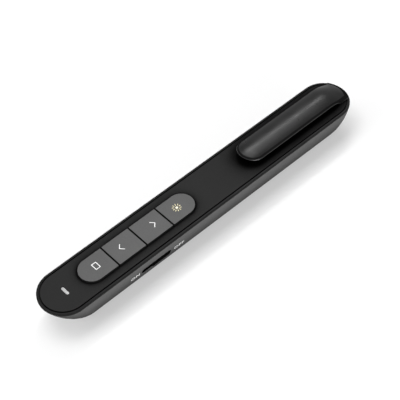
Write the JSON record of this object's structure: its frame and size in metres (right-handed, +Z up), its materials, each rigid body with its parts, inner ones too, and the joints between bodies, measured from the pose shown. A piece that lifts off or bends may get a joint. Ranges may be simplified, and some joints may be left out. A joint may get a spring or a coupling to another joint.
{
  "type": "wireless presentation clicker",
  "caption": "Slim boat-shaped wireless presentation clicker with a row of flush keys, a side power switch, a laser in its head, a pocket clip, and a USB receiver stowed in its tail.",
  "frame": {"origin": "on the flat underside, at the middle of the body's length and width", "axes": "+X towards the head with the laser and the clip's root, -Y the side with the power switch, +Z up out of the key face"},
  "size_m": [0.147, 0.0196, 0.0177],
  "materials": {
    "shell": "fine matt, moulded",
    "frame": "satin, moulded",
    "plate": "fine matt",
    "key": "fine matt, printed signs",
    "clip": "satin",
    "black": "matt",
    "window": "milky light pipe",
    "laser_window": "tinted",
    "lens": "polished",
    "board": "green solder mask",
    "chip": "moulded package",
    "ceramic": "ceramic",
    "stem": "moulded",
    "steel": "zinc plated",
    "nickel": "nickel plated",
    "cell": "plain printed jacket",
    "brass": "turned",
    "gold": "gold plated",
    "red_wire": "insulation",
    "black_wire": "insulation",
    "white": "moulded"
  },
  "bodies": {
    "body": {"bottom_shell": "shell", "top_frame": "frame", "top_plate": "plate", "led_window": "window", "laser_window": "laser_window", "clip_root": "clip", "clip_washer": "steel", "clip_screws": "steel", "tact_screen": "chip", "tact_back": "chip", "tact_next": "chip", "tact_laser": "chip", "main_board": "board", "board_screws": "steel", "radio_chip": "chip", "crystal": "nickel", "chip_antenna": "ceramic", "boost_coil": "chip", "chip_capacitors": "ceramic", "status_led": "ceramic", "switch_body": "nickel", "battery_cell": "cell", "battery_spring": "nickel", "spring_contact": "nickel", "nub_contact": "nickel", "battery_wire": "red_wire", "laser_barrel": "brass", "laser_lens": "lens", "laser_diode": "gold", "laser_board": "board", "laser_wires": "black_wire", "bay_magnet": "nickel"},
    "screen_key": {"key_screen": "key", "stem_screen": "stem"},
    "back_key": {"key_back": "key", "stem_back": "stem"},
    "next_key": {"key_next": "key", "stem_next": "stem"},
    "laser_key": {"key_laser": "key", "stem_laser": "stem"},
    "power_slider": {"switch_lever": "black", "switch_knob": "black"},
    "clip": {"pocket_clip": "clip"},
    "cover": {"battery_cover": "shell"},
    "receiver": {"receiver_cap": "clip", "receiver_plug": "nickel", "receiver_tongue": "white", "receiver_contacts": "gold", "receiver_board": "board"}
  },
  "joints": [
    {"name": "screen_key_press", "type": "slide", "parent": "body", "child": "screen_key", "axis": [0, 0, -1], "range_m": [0, 0.0004], "stiffness_N_per_m": 300},
    {"name": "back_key_press", "type": "slide", "parent": "body", "child": "back_key", "axis": [0, 0, -1], "range_m": [0, 0.0004], "stiffness_N_per_m": 300},
    {"name": "next_key_press", "type": "slide", "parent": "body", "child": "next_key", "axis": [0, 0, -1], "range_m": [0, 0.0004], "stiffness_N_per_m": 300},
    {"name": "laser_key_press", "type": "slide", "parent": "body", "child": "laser_key", "axis": [0, 0, -1], "range_m": [0, 0.0004], "stiffness_N_per_m": 300},
    {"name": "power_switch_slide", "type": "slide", "parent": "body", "child": "power_slider", "axis": [-1, 0, 0], "range_m": [0, 0.004]},
    {"name": "clip_flex", "type": "hinge", "parent": "body", "child": "clip", "pos_m": [0.06275, 0, 0.0177], "axis": [0, 1, 0], "range_deg": [0, 6], "stiffness_Nm_per_rad": 0.05},
    {"name": "battery_cover_slide", "type": "slide", "parent": "body", "child": "cover", "axis": [1, 0, 0], "range_m": [0, 0.076]},
    {"name": "receiver_draw_out", "type": "slide", "parent": "body", "child": "receiver", "axis": [-1, 0, 0], "range_m": [0, 0.04]}
  ]
}
